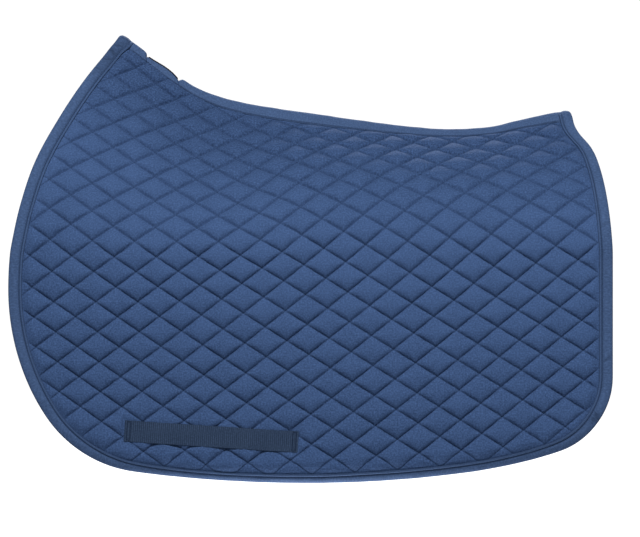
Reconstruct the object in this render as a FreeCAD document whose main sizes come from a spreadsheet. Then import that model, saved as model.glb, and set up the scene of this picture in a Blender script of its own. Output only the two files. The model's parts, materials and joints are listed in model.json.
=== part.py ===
import FreeCAD, Part
import math
import os
import Sketcher
from FreeCAD import Vector

# All-purpose quilted saddle pad, draped as it lies on a horse. Millimetres.
# X runs along the horse's back with the withers end at -X, Y runs across it
# with the near (left) side at -Y, and Z is up. The origin is on the underside
# of the spine seam, half way along. Two quilted panels meet at the spine seam.
# Each panel curves over the back and then hangs as a flat flap.

DIMENSIONS = [
    ("flap_face", 137.0, "outer face of a hanging flap, from the centre plane"),
    ("pad_thickness", 12.0, "quilted thickness"),
    ("spine_thickness", 5.0, "quilted thickness where it is sewn down at the spine"),
    ("pinch_width", 35.0, "distance over which the spine thickness grows to the full one"),
    ("fabric_thickness", 1.2, "outer cotton layer"),
    ("lining_thickness", 1.2, "lining layer"),
    ("layer_gap", 0.15, "clearance between neighbouring layers"),
    ("centre_gap", 0.3, "half of the clearance between the two panels at the spine"),
    ("hinge_height", -160.0, "height of the fold line where a flap starts to hang"),
    ("gap_above", 8.5, "clearance above the fold line, for lifting a flap level"),
    ("gap_below", 3.0, "clearance below the fold line"),
    ("binding_width", 16.0, "width of the edge binding on each face"),
    ("binding_thickness", 1.2, "thickness of the binding tape"),
    ("binding_gap", 0.2, "clearance inside the flap binding"),
    ("curved_gap", 0.7, "clearance inside the curved binding and under the tapes"),
    ("under_gap", 1.5, "clearance between the lining and the tape under the spine"),
    ("tape_width", 16.0, "width of the spine tape on each side of the seam"),
    ("tape_edge", 1.0, "thickness of the spine tape at its edges"),
    ("tape_crest", 3.0, "thickness of the spine tape over the seam"),
    ("under_tape", 1.0, "thickness of the tape under the spine"),
    ("tab_front", -216.5, "front end of the withers tab"),
    ("tab_rear", -178.0, "rear end of the withers tab"),
    ("tab_width", 11.0, "width of the withers tab on each side of the seam"),
    ("tab_height", 2.4, "height of the tab over the seam"),
    ("piping_radius", 0.8, "radius of the piping along the tab"),
    ("keeper_length", 206.0, "length of a girth keeper strap"),
    ("keeper_width", 25.0, "width of the keeper webbing"),
    ("keeper_thickness", 1.6, "thickness of the keeper webbing"),
    ("keeper_tab", 12.0, "length of the strap sewn down at each end"),
    ("keeper_rise", 7.0, "height of the arch under the strap"),
    ("keeper_slope", 3.7, "slope of the strap in degrees, lower at the rear"),
    ("keeper_x", -128.5, "middle of the strap along the pad"),
    ("keeper_z", -380.5, "middle of the strap's height"),
    ("keeper_gap", 0.1, "clearance between the strap and the outer cotton"),
    ("stitch_thickness", 0.4, "height of the stitching"),
    ("stitch_width", 0.9, "width of a line of stitching"),
    ("stitch_length", 8.0, "length of the box of stitches at a strap end"),
    ("stitch_height", 21.0, "height of the box of stitches at a strap end"),
    ("x_a", -366.61, "front edge at the fold line"),
    ("z_a", -163.0, "top of the flap"),
    ("dir_a", -95.77, "direction of the edge there, in degrees"),
    ("x_b", -368.8, "foremost point of the front edge"),
    ("z_b", -206.4, ""),
    ("dir_b", -90.0, ""),
    ("x_c", -325.32, "start of the front corner"),
    ("z_c", -356.36, ""),
    ("dir_c", -57.68, ""),
    ("x_d", -221.83, "end of the front corner"),
    ("z_d", -422.62, ""),
    ("dir_d", -7.58, ""),
    ("x_e", 174.77, "end of the long bottom edge"),
    ("z_e", -423.29, ""),
    ("dir_e", 7.39, ""),
    ("x_f", 285.09, "start of the rear corner"),
    ("z_f", -396.83, ""),
    ("dir_f", 19.59, ""),
    ("x_g", 346.45, "end of the rear corner"),
    ("z_g", -309.87, ""),
    ("dir_g", 90.0, ""),
    ("x_k", 346.45, "rear edge at the fold line"),
    ("z_k", -163.0, "top of the flap"),
    ("dir_k", 90.0, ""),
    ("radius_ab", 432.0, "front edge above its foremost point"),
    ("radius_bc", 280.49, "front edge below its foremost point"),
    ("radius_cd", 145.1, "front corner"),
    ("radius_de", 1522.86, "bottom edge"),
    ("radius_ef", 533.73, "bottom edge near the rear corner"),
    ("radius_fg", 92.3, "rear corner"),
]

# Height of the crest of the outer cotton along the spine, as (x, z).
CREST = [(-370, 185), (-245, 103), (-165, 45.2), (-110, 24.5), (0, 7), (110, -7.6),
         (165, -11), (215, -7.7), (255, 1.4), (300, 10.5), (350, 14)]
# Slope of the panel where it leaves the spine, as (x, degrees).
SLOPE = [(-370, 60), (-245, 57), (-150, 48), (0, 30.5), (120, 24.5), (220, 26), (350, 38)]
# Front and rear edges above the fold line, as (z, x).
FRONT_EDGE = [(-160, -366.3), (-106, -357), (-52, -341.9), (4.6, -314.6),
              (50, -288.9), (90, -262.6), (109, -249)]
REAR_EDGE = [(-160, 346.4), (-88, 342.3), (-50, 336.9), (-33, 331), (-17, 320.5),
             (-5, 315.5), (7, 314), (15, 310)]

doc = FreeCAD.newDocument("saddle_pad")
sheet = doc.addObject("Spreadsheet::Sheet", "dims")
for row, (name, value, note) in enumerate(DIMENSIONS, start=1):
    sheet.set("A%d" % row, name)
    sheet.set("B%d" % row, str(value))
    sheet.set("C%d" % row, note)
    sheet.setAlias("B%d" % row, name)
doc.recompute()


def size(name):
    return float(sheet.get(name))


def smooth_value(points, at):
    """Value at a position on a smooth curve through points of rising position."""
    if at <= points[0][0]:
        return points[0][1]
    if at >= points[-1][0]:
        return points[-1][1]
    index = max(i for i in range(len(points) - 1) if points[i][0] <= at)

    def tangent(i):
        low = max(i - 1, 0)
        high = min(i + 1, len(points) - 1)
        return (points[high][1] - points[low][1]) / (points[high][0] - points[low][0])

    width = points[index + 1][0] - points[index][0]
    part = (at - points[index][0]) / width
    square = part * part
    cube = square * part
    start = (2 * cube - 3 * square + 1) * points[index][1]
    start += (cube - 2 * square + part) * width * tangent(index)
    end = (3 * square - 2 * cube) * points[index + 1][1]
    end += (cube - square) * width * tangent(index + 1)
    return start + end


def panel_section(x, depth, shift):
    """Half section of a panel at x, from the centre plane down to the fold line.

    depth is 0 on the outer cotton's face and 1 on the lining's face, and shift
    moves the section further in. Returns (y, z) points of the near half, y > 0.
    """
    face = size("flap_face")
    crest = smooth_value(CREST, x)
    slope = math.tan(math.radians(smooth_value(SLOPE, x)))
    knee = crest - face * slope
    hinge = size("hinge_height")
    count = 70
    points = []
    along = 0.0
    last = (0.0, crest)
    for i in range(count + 1):
        t = i / count
        y = 2 * t * (1 - t) * face + t * t * face
        z = (1 - t) ** 2 * crest + 2 * t * (1 - t) * knee + t * t * hinge
        dy = 2 * (1 - t) * face
        dz = 2 * (1 - t) * (knee - crest) + 2 * t * (hinge - knee)
        length = math.hypot(dy, dz)
        along += math.hypot(y - last[0], z - last[1])
        last = (y, z)
        rise = min(along / size("pinch_width"), 1.0)
        rise = rise * rise * (3 - 2 * rise)
        spine = size("spine_thickness")
        thick = spine + (size("pad_thickness") - spine) * rise
        inward = depth * thick + shift
        points.append((y + dz / length * inward, z - dy / length * inward))
    return points


def trimmed_section(x, depth, shift, y_start, z_end, count):
    """The section from y_start to z_end, as evenly spaced points."""
    points = panel_section(x, depth, shift)
    line = []
    for (ya, za), (yb, zb) in zip(points, points[1:]):
        if yb <= y_start:
            continue
        if not line:
            part = max((y_start - ya) / (yb - ya), -1.0)
            line.append((y_start, za + (zb - za) * part))
        if zb <= z_end:
            part = (z_end - za) / (zb - za)
            line.append((ya + (yb - ya) * part, z_end))
            break
        line.append((yb, zb))
    reach = [0.0]
    for (ya, za), (yb, zb) in zip(line, line[1:]):
        reach.append(reach[-1] + math.hypot(yb - ya, zb - za))
    result = []
    index = 0
    for i in range(count):
        target = reach[-1] * i / (count - 1)
        while index < len(reach) - 2 and reach[index + 1] < target:
            index += 1
        part = (target - reach[index]) / (reach[index + 1] - reach[index])
        ya, za = line[index]
        yb, zb = line[index + 1]
        result.append((ya + (yb - ya) * part, za + (zb - za) * part))
    return result


def edge_point(edge, inset, row, depth, shift, y_start, z_end, count):
    """Point (x, y, z) where a row of the section meets the front or rear edge."""
    x = smooth_value(edge, z_end) + inset
    y, z = 0.0, 0.0
    for _ in range(22):
        y, z = trimmed_section(x, depth, shift, y_start, z_end, count)[row]
        target = smooth_value(edge, z) + inset
        x = x + 0.7 * (target - x)
    return x, y, z


def solid_from_faces(faces):
    """Closed solid from faces that share their edges."""
    skin = Part.makeCompound(faces)
    skin.sewShape(0.01)
    solid = Part.makeSolid(skin.Shells[0])
    if solid.Volume < 0:
        solid.reverse()
    return solid


def panel_layer(side, top, bottom, inset, across=31, down=15):
    """A curved layer of one panel between two depths, inside the bindings."""
    y_start = size("centre_gap")
    z_end = size("hinge_height") + size("gap_above")
    surfaces = []
    for depth, shift in (top, bottom):
        ends = []
        for row in range(down):
            front = edge_point(FRONT_EDGE, inset, row, depth, shift, y_start, z_end, down)
            rear = edge_point(REAR_EDGE, -inset, row, depth, shift, y_start, z_end, down)
            ends.append((front[0], rear[0]))
        grid = []
        for column in range(across):
            line = []
            for row in range(down):
                x = ends[row][0] + (ends[row][1] - ends[row][0]) * column / (across - 1)
                y, z = trimmed_section(x, depth, shift, y_start, z_end, down)[row]
                line.append(Vector(x, side * y, z))
            grid.append(line)
        surface = Part.BSplineSurface()
        surface.interpolate(grid)
        surfaces.append(surface)
    upper, lower = surfaces
    faces = [upper.toShape(), lower.toShape()]
    u_low, u_high, v_low, v_high = upper.bounds()
    m_low, m_high, n_low, n_high = lower.bounds()
    borders = [
        (upper.uIso(u_low), lower.uIso(m_low)),
        (upper.uIso(u_high), lower.uIso(m_high)),
        (upper.vIso(v_low), lower.vIso(n_low)),
        (upper.vIso(v_high), lower.vIso(n_high)),
    ]
    for a, b in borders:
        faces.append(Part.makeRuledSurface(a.toShape(), b.toShape()))
    return solid_from_faces(faces)


def solid_through(stations, split=None):
    """Solid through closed polygons with the same number of corners.

    Corner curves are smooth, apart from a crease at the split station.
    """
    corners = len(stations[0])
    spans = [(0, len(stations) - 1)]
    if split is not None:
        spans = [(0, split), (split, len(stations) - 1)]
    faces = []
    for first, last in spans:
        curves = []
        for corner in range(corners):
            curve = Part.BSplineCurve()
            curve.interpolate([stations[i][corner] for i in range(first, last + 1)])
            curves.append(curve.toShape())
        for corner in range(corners):
            following = (corner + 1) % corners
            faces.append(Part.makeRuledSurface(curves[corner], curves[following]))
    for station in (stations[0], stations[-1]):
        faces.append(Part.Face(Part.makePolygon(station + [station[0]])))
    return solid_from_faces(faces)


def binding_over_spine(edge, inward):
    """Channel-section tape round the front or rear edge, over the spine.

    inward is +1 on the front edge and -1 on the rear edge, towards the pad.
    """
    gap = size("curved_gap")
    tape = size("binding_thickness")
    width = size("binding_width")
    z_end = size("hinge_height") + size("gap_above")
    profile = [
        (0.0, 0, -gap - tape), (width, 0, -gap - tape), (width, 0, -gap), (tape, 0, -gap),
        (tape, 1, gap), (width, 1, gap), (width, 1, gap + tape), (0.0, 1, gap + tape),
    ]
    rows = 19
    half = []
    for row in range(rows):
        station = []
        for inset, depth, shift in profile:
            point = edge_point(edge, inward * inset, row, depth, shift, 0.0, z_end, rows)
            station.append(point)
        half.append(station)
    stations = [[Vector(x, -y, z) for x, y, z in station] for station in reversed(half)]
    stations += [[Vector(x, y, z) for x, y, z in station] for station in half[1:]]
    return solid_through(stations, rows - 1)


def crest_strip(x_start, x_end, width, crest_thickness, edge_thickness, depth=0, count=9):
    """Strip along the spine that folds down over both sides of the seam."""
    stations = []
    for i in range(count):
        x = x_start + (x_end - x_start) * i / (count - 1)
        crest = crest_thickness(i / (count - 1))
        edge = edge_thickness(i / (count - 1))
        sign = 1 if depth else -1
        rest = size("under_gap") if depth else -size("curved_gap")
        low_mid = trimmed_section(x, depth, rest, 0.0, -150, 60)[0]
        top_mid = trimmed_section(x, depth, rest + sign * crest, 0.0, -150, 60)[0]
        low_edge = point_at_reach(x, depth, rest, width)
        top_edge = point_at_reach(x, depth, rest + sign * edge, width)
        stations.append([
            Vector(x, -top_edge[0], top_edge[1]), Vector(x, 0, top_mid[1]),
            Vector(x, top_edge[0], top_edge[1]), Vector(x, low_edge[0], low_edge[1]),
            Vector(x, 0, low_mid[1]), Vector(x, -low_edge[0], low_edge[1]),
        ])
    return solid_through(stations)


def point_at_reach(x, depth, shift, reach):
    """Point (y, z) on the section at a distance from the centre plane."""
    line = trimmed_section(x, depth, shift, 0.0, -150, 120)
    total = 0.0
    for (ya, za), (yb, zb) in zip(line, line[1:]):
        step = math.hypot(yb - ya, zb - za)
        if total + step >= reach:
            part = (reach - total) / step
            return ya + (yb - ya) * part, za + (zb - za) * part
        total += step
    return line[-1]


def crest_cord(x_start, x_end, radius, height, count=9):
    """Thin cord that lies along the top of the withers tab."""
    stations = []
    for i in range(count):
        x = x_start + (x_end - x_start) * i / (count - 1)
        top = trimmed_section(x, 0, -size("curved_gap") - height(i / (count - 1)), 0.0, -150, 60)[0][1]
        middle = top + radius + 0.1
        station = []
        for corner in range(8):
            angle = math.radians(22.5 + 45 * corner)
            station.append(Vector(x, radius * math.cos(angle), middle + radius * math.sin(angle)))
        stations.append(station)
    return solid_through(stations)


def add_shape(name, shape):
    """A sub-part whose shape is set from the sizes in the sheet."""
    feature = doc.addObject("Part::Feature", name)
    feature.Label = name
    feature.Shape = shape
    feature.Placement = FreeCAD.Placement()
    return feature


def origin_plane(body, role):
    for feature in body.Origin.OriginFeatures:
        if feature.Role == role:
            return feature
    raise ValueError(role)


CORNERS = "abcdefgk"


def outline_corner(letter, inset):
    """Corner of the flap's outline, moved inward square to the edge."""
    angle = math.radians(size("dir_" + letter))
    x = size("x_" + letter) - inset * math.sin(angle)
    z = size("z_" + letter) + inset * math.cos(angle)
    return x, z


def corner_expressions(letter, inset_text):
    angle = "dims.dir_%s * 1deg" % letter
    x_text = "(dims.x_%s - (%s) * sin(%s)) * 1mm" % (letter, inset_text, angle)
    z_text = "(dims.z_%s + (%s) * cos(%s)) * 1mm" % (letter, inset_text, angle)
    return x_text, z_text


def arc_between(start, end, radius):
    """Arc turning left from start to end, the short way round."""
    dx = end[0] - start[0]
    dz = end[1] - start[1]
    chord = math.hypot(dx, dz)
    rise = math.sqrt(radius * radius - chord * chord / 4)
    cx = (start[0] + end[0]) / 2 - dz / chord * rise
    cz = (start[1] + end[1]) / 2 + dx / chord * rise
    first = math.atan2(start[1] - cz, start[0] - cx)
    last = math.atan2(end[1] - cz, end[0] - cx)
    circle = Part.Circle(Vector(cx, cz, 0), Vector(0, 0, 1), radius)
    return Part.ArcOfCircle(circle, first, last)


def add_edge_chain(sketch, inset, inset_text):
    """The flap's edge from its front top corner round to its rear top corner."""
    first = sketch.GeometryCount
    points = [outline_corner(letter, inset) for letter in CORNERS]
    pairs = list(zip(CORNERS, CORNERS[1:]))
    for i, (a, b) in enumerate(pairs):
        alias = "radius_" + a + b
        if alias in [name for name, value, note in DIMENSIONS]:
            sketch.addGeometry(arc_between(points[i], points[i + 1], size(alias) - inset))
        else:
            start = Vector(points[i][0], points[i][1], 0)
            end = Vector(points[i + 1][0], points[i + 1][1], 0)
            sketch.addGeometry(Part.LineSegment(start, end))
    for i, (a, b) in enumerate(pairs):
        index = first + i
        alias = "radius_" + a + b
        if alias in [name for name, value, note in DIMENSIONS]:
            radius = size(alias) - inset
            number = sketch.addConstraint(Sketcher.Constraint("Radius", index, radius))
            text = "(dims.%s - (%s)) * 1mm" % (alias, inset_text)
            sketch.setExpression("Constraints[%d]" % number, text)
        if i:
            sketch.addConstraint(Sketcher.Constraint("Coincident", index - 1, 2, index, 1))
    for i, letter in enumerate(CORNERS):
        index = first + min(i, len(pairs) - 1)
        end = 1 if i < len(pairs) else 2
        x_text, z_text = corner_expressions(letter, inset_text)
        x, z = points[i]
        for kind, value, text in (("DistanceX", x, x_text), ("DistanceY", z, z_text)):
            number = sketch.addConstraint(Sketcher.Constraint(kind, -1, 1, index, end, value))
            sketch.setExpression("Constraints[%d]" % number, text)
    return first, first + len(pairs) - 1


def new_body(name, plane_role):
    body = doc.addObject("PartDesign::Body", name)
    body.Label = name
    sketch = body.newObject("Sketcher::SketchObject", name + "_profile")
    sketch.AttachmentSupport = [(origin_plane(body, plane_role), "")]
    sketch.MapMode = "FlatFace"
    return body, sketch


def add_pad(body, sketch, length_text):
    doc.recompute()
    pad = body.newObject("PartDesign::Pad", body.Name + "_pad")
    pad.Profile = sketch
    pad.setExpression("Length", length_text)
    doc.recompute()
    return pad


def flap_layer(name, side, inner_text, thickness_text):
    """Flat layer of a flap, between inner_text and inner_text + thickness_text."""
    body, sketch = new_body(name, "XZ_Plane")
    inset = size("binding_thickness") + size("binding_gap")
    inset_text = "dims.binding_thickness + dims.binding_gap"
    first, last = add_edge_chain(sketch, inset, inset_text)
    start = sketch.getPoint(last, 2)
    end = sketch.getPoint(first, 1)
    top = sketch.addGeometry(Part.LineSegment(start, end))
    sketch.addConstraint(Sketcher.Constraint("Coincident", last, 2, top, 1))
    sketch.addConstraint(Sketcher.Constraint("Coincident", top, 2, first, 1))
    add_pad(body, sketch, "(%s) * 1mm" % thickness_text)
    place_across(body, side, inner_text, thickness_text)
    return body


def place_across(body, side, inner_text, thickness_text):
    """The pad grows towards -Y, so an off side piece starts at its outer face."""
    if side < 0:
        body.setExpression("Placement.Base.y", "-(%s) * 1mm" % inner_text)
    else:
        text = "(%s + %s) * 1mm" % (inner_text, thickness_text)
        body.setExpression("Placement.Base.y", text)


def flap_binding(name, side):
    """Channel-section tape round the flap's front, bottom and rear edges."""
    whole = "dims.pad_thickness + 2 * (dims.binding_thickness + dims.binding_gap)"
    inner = "dims.flap_face - dims.pad_thickness - dims.binding_thickness - dims.binding_gap"
    body, sketch = new_body(name + "_band", "XZ_Plane")
    outer_first, outer_last = add_edge_chain(sketch, 0.0, "0")
    inset = size("binding_width")
    inner_first, inner_last = add_edge_chain(sketch, inset, "dims.binding_width")
    for a, b in ((outer_last, inner_last), (outer_first, inner_first)):
        end = 2 if a == outer_last else 1
        line = sketch.addGeometry(Part.LineSegment(sketch.getPoint(a, end), sketch.getPoint(b, end)))
        sketch.addConstraint(Sketcher.Constraint("Coincident", a, end, line, 1))
        sketch.addConstraint(Sketcher.Constraint("Coincident", line, 2, b, end))
    add_pad(body, sketch, "(%s) * 1mm" % whole)
    place_across(body, side, inner, whole)
    core_whole = "dims.pad_thickness + 2 * dims.binding_gap"
    core_inner = "dims.flap_face - dims.pad_thickness - dims.binding_gap"
    core, profile = new_body(name + "_core", "XZ_Plane")
    core_inset = size("binding_thickness")
    first, last = add_edge_chain(profile, core_inset, "dims.binding_thickness")
    top = profile.addGeometry(Part.LineSegment(profile.getPoint(last, 2), profile.getPoint(first, 1)))
    profile.addConstraint(Sketcher.Constraint("Coincident", last, 2, top, 1))
    profile.addConstraint(Sketcher.Constraint("Coincident", top, 2, first, 1))
    add_pad(core, profile, "(%s) * 1mm" % core_whole)
    place_across(core, side, core_inner, core_whole)
    cut = doc.addObject("Part::Cut", name)
    cut.Label = name
    cut.Base = body
    cut.Tool = core
    doc.recompute()
    return cut


def keeper_profile(sketch):
    """Arched strap seen from above: flat ends and a shallow arch between them."""
    half = size("keeper_length") / 2
    foot = half - size("keeper_tab")
    rise = size("keeper_rise")
    thick = size("keeper_thickness")
    radius = (foot * foot + rise * rise) / (2 * rise)
    points = [(-half, 0), (-foot, 0), (foot, 0), (half, 0), (half, thick), (foot, thick),
              (-foot, thick), (-half, thick)]
    names = ["-dims.keeper_length / 2", "-(dims.keeper_length / 2 - dims.keeper_tab)",
             "dims.keeper_length / 2 - dims.keeper_tab", "dims.keeper_length / 2"]
    x_texts = names + list(reversed(names))
    radius_text = ("((dims.keeper_length / 2 - dims.keeper_tab) ^ 2 + dims.keeper_rise ^ 2)"
                   " / (2 * dims.keeper_rise)")

    sketch.addGeometry(Part.LineSegment(Vector(*points[0], 0), Vector(*points[1], 0)))
    sketch.addGeometry(Part.ArcOfCircle(*arc_parts(points[1], points[2], radius)))
    sketch.addGeometry(Part.LineSegment(Vector(*points[2], 0), Vector(*points[3], 0)))
    sketch.addGeometry(Part.LineSegment(Vector(*points[3], 0), Vector(*points[4], 0)))
    sketch.addGeometry(Part.LineSegment(Vector(*points[4], 0), Vector(*points[5], 0)))
    sketch.addGeometry(Part.ArcOfCircle(*arc_parts(points[6], points[5], radius)))
    sketch.addGeometry(Part.LineSegment(Vector(*points[6], 0), Vector(*points[7], 0)))
    sketch.addGeometry(Part.LineSegment(Vector(*points[7], 0), Vector(*points[0], 0)))
    # An arc over the top runs from its right end to its left end.
    joins = [(0, 2, 1, 2), (1, 1, 2, 1), (2, 2, 3, 1), (3, 2, 4, 1), (4, 2, 5, 1),
             (5, 2, 6, 1), (6, 2, 7, 1), (7, 2, 0, 1)]
    for a, a_end, b, b_end in joins:
        sketch.addConstraint(Sketcher.Constraint("Coincident", a, a_end, b, b_end))
    for arc in (1, 5):
        number = sketch.addConstraint(Sketcher.Constraint("Radius", arc, radius))
        sketch.setExpression("Constraints[%d]" % number, "(%s) * 1mm" % radius_text)
    places = [(0, 1), (0, 2), (2, 1), (2, 2), (4, 1), (4, 2), (6, 1), (6, 2)]
    for i, (geometry, end) in enumerate(places):
        x, y = points[i]
        y_text = "0mm" if i < 4 else "dims.keeper_thickness * 1mm"
        x_number = sketch.addConstraint(
            Sketcher.Constraint("DistanceX", -1, 1, geometry, end, x))
        sketch.setExpression("Constraints[%d]" % x_number, "(%s) * 1mm" % x_texts[i])
        if i < 4:
            sketch.addConstraint(Sketcher.Constraint("PointOnObject", geometry, end, -1))
        else:
            y_number = sketch.addConstraint(
                Sketcher.Constraint("DistanceY", -1, 1, geometry, end, y))
            sketch.setExpression("Constraints[%d]" % y_number, y_text)


def arc_parts(left, right, radius):
    """Circle and angles of an arc that rises between two points of equal height."""
    half = (right[0] - left[0]) / 2
    drop = math.sqrt(radius * radius - half * half)
    centre = Vector((left[0] + right[0]) / 2, left[1] - drop, 0)
    spread = math.asin(half / radius)
    circle = Part.Circle(centre, Vector(0, 0, 1), radius)
    return circle, math.pi / 2 - spread, math.pi / 2 + spread


def tilt(body, side):
    """Slope of the strap, after a half turn that faces off side pieces outward."""
    slope = FreeCAD.Rotation(Vector(0, 1, 0), size("keeper_slope"))
    if side < 0:
        body.Placement.Rotation = slope.multiply(FreeCAD.Rotation(Vector(1, 0, 0), 180))
    else:
        body.Placement.Rotation = slope


def girth_keeper(name, side):
    """Webbing strap sewn to the flap at both ends, arched for the girth straps."""
    body, sketch = new_body(name, "XY_Plane")
    keeper_profile(sketch)
    pad = add_pad(body, sketch, "dims.keeper_width * 1mm")
    pad.Midplane = True
    doc.recompute()
    tilt(body, side)
    body.setExpression("Placement.Base.x", "dims.keeper_x * 1mm")
    body.setExpression("Placement.Base.y", "%d * (dims.flap_face + dims.keeper_gap) * 1mm" % side)
    body.setExpression("Placement.Base.z", "dims.keeper_z * 1mm")
    return body


def keeper_stitching(name, side, end):
    """Box of stitches at one end of a strap: -1 is the front end, +1 the rear."""
    body, sketch = new_body(name, "XZ_Plane")
    width = size("stitch_width")
    length = size("stitch_length")
    height = size("stitch_height")
    boxes = [(length / 2, height / 2, "dims.stitch_length", "dims.stitch_height"),
             (length / 2 - width, height / 2 - width,
              "dims.stitch_length - 2 * dims.stitch_width",
              "dims.stitch_height - 2 * dims.stitch_width")]
    for half_x, half_z, x_text, z_text in boxes:
        first = sketch.GeometryCount
        corners = [Vector(-half_x, -half_z, 0), Vector(half_x, -half_z, 0),
                   Vector(half_x, half_z, 0), Vector(-half_x, half_z, 0)]
        for i in range(4):
            sketch.addGeometry(Part.LineSegment(corners[i], corners[(i + 1) % 4]))
        for i in range(4):
            following = first + (i + 1) % 4
            sketch.addConstraint(Sketcher.Constraint("Coincident", first + i, 2, following, 1))
        for i, kind in enumerate(("Horizontal", "Vertical", "Horizontal", "Vertical")):
            sketch.addConstraint(Sketcher.Constraint(kind, first + i))
        sketch.addConstraint(
            Sketcher.Constraint("Symmetric", first, 1, first + 2, 1, -1, 1))
        along = sketch.addConstraint(
            Sketcher.Constraint("DistanceX", first, 1, first, 2, 2 * half_x))
        sketch.setExpression("Constraints[%d]" % along, "(%s) * 1mm" % x_text)
        up = sketch.addConstraint(
            Sketcher.Constraint("DistanceY", first + 1, 1, first + 1, 2, 2 * half_z))
        sketch.setExpression("Constraints[%d]" % up, "(%s) * 1mm" % z_text)
    add_pad(body, sketch, "dims.stitch_thickness * 1mm")
    slope = math.radians(size("keeper_slope"))
    reach = end * (size("keeper_length") - size("keeper_tab")) / 2
    face = size("flap_face") + size("keeper_gap") + size("keeper_thickness") + 0.02
    x = size("keeper_x") + reach * math.cos(slope)
    z = size("keeper_z") - reach * math.sin(slope)
    y = side * (face + (0 if side < 0 else size("stitch_thickness")))
    rotation = FreeCAD.Rotation(Vector(0, 1, 0), size("keeper_slope"))
    body.Placement = FreeCAD.Placement(Vector(x, y, z), rotation)
    return body


fabric = size("fabric_thickness") / size("pad_thickness")
lining = size("lining_thickness") / size("pad_thickness")
between = size("layer_gap") / size("pad_thickness")
panel_inset = size("binding_thickness") + size("binding_gap")
parts = []

SIDES = (("near", -1), ("off", 1))
for word, side in SIDES:
    parts.append(add_shape(word + "_ridge_outer_fabric",
                           panel_layer(side, (0, 0), (fabric, 0), panel_inset)))
    parts.append(add_shape(word + "_ridge_wadding",
                           panel_layer(side, (fabric + between, 0), (1 - lining - between, 0),
                                       panel_inset)))
    parts.append(add_shape(word + "_ridge_lining",
                           panel_layer(side, (1 - lining, 0), (1, 0), panel_inset)))

crest_width = size("tape_width")
front_end = smooth_value(FRONT_EDGE, 105) + size("binding_width") + 0.6
rear_end = smooth_value(REAR_EDGE, 12) - size("binding_width") - 0.6
parts.append(add_shape("spine_tape_front", crest_strip(
    front_end, size("tab_front") - 0.3, crest_width,
    lambda t: size("tape_crest"), lambda t: size("tape_edge"), count=4)))
parts.append(add_shape("spine_tape_rear", crest_strip(
    size("tab_rear") + 0.3, rear_end, crest_width,
    lambda t: size("tape_crest"), lambda t: size("tape_edge"), count=30)))
parts.append(add_shape("spine_tape_under", crest_strip(
    front_end, rear_end, crest_width,
    lambda t: size("under_tape"), lambda t: size("under_tape"), depth=1, count=34)))


def tab_lift(t):
    return 0.5 + size("tab_height") * math.sin(math.pi * t)


parts.append(add_shape("withers_tab", crest_strip(
    size("tab_front"), size("tab_rear"), size("tab_width"),
    tab_lift, lambda t: 0.5)))
parts.append(add_shape("withers_tab_piping", crest_cord(
    size("tab_front") + 2, size("tab_rear") - 2, size("piping_radius"),
    lambda t: tab_lift((t * (size("tab_rear") - size("tab_front") - 4) + 2)
                       / (size("tab_rear") - size("tab_front"))))))
parts.append(add_shape("ridge_binding_front", binding_over_spine(FRONT_EDGE, 1)))
parts.append(add_shape("ridge_binding_rear", binding_over_spine(REAR_EDGE, -1)))

for word, side in SIDES:
    parts.append(flap_layer(word + "_flap_outer_fabric", side,
                            "dims.flap_face - dims.fabric_thickness", "dims.fabric_thickness"))
    parts.append(flap_layer(
        word + "_flap_wadding", side,
        "dims.flap_face - dims.pad_thickness + dims.lining_thickness + dims.layer_gap",
        "dims.pad_thickness - dims.fabric_thickness - dims.lining_thickness - 2 * dims.layer_gap"))
    parts.append(flap_layer(word + "_flap_lining", side,
                            "dims.flap_face - dims.pad_thickness", "dims.lining_thickness"))
    parts.append(flap_binding(word + "_flap_binding", side))
    parts.append(girth_keeper(word + "_girth_keeper", side))
    for end_word, end in (("front", -1), ("rear", 1)):
        parts.append(keeper_stitching("%s_keeper_stitching_%s" % (word, end_word), side, end))
doc.recompute()

for item in doc.Objects:
    if "Invalid" in item.State or "Error" in item.State:
        raise RuntimeError("%s failed: %s" % (item.Name, item.State))
os.makedirs("parts", exist_ok=True)
for item in parts:
    shape = item.Shape
    if shape.isNull() or not shape.isValid() or len(shape.Solids) != 1:
        raise RuntimeError("%s has no single valid solid" % item.Label)
    box = shape.BoundBox
    print("%-28s volume %10.0f  x %7.1f %7.1f  y %7.1f %7.1f  z %7.1f %7.1f" % (
        item.Label, shape.Volume, box.XMin, box.XMax, box.YMin, box.YMax, box.ZMin, box.ZMax))
for item in parts:
    item.Shape.exportStep("parts/%s.step" % item.Label)
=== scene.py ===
import json
import math

import bpy
import numpy as np
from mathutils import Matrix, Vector
from mathutils.kdtree import KDTree


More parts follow.
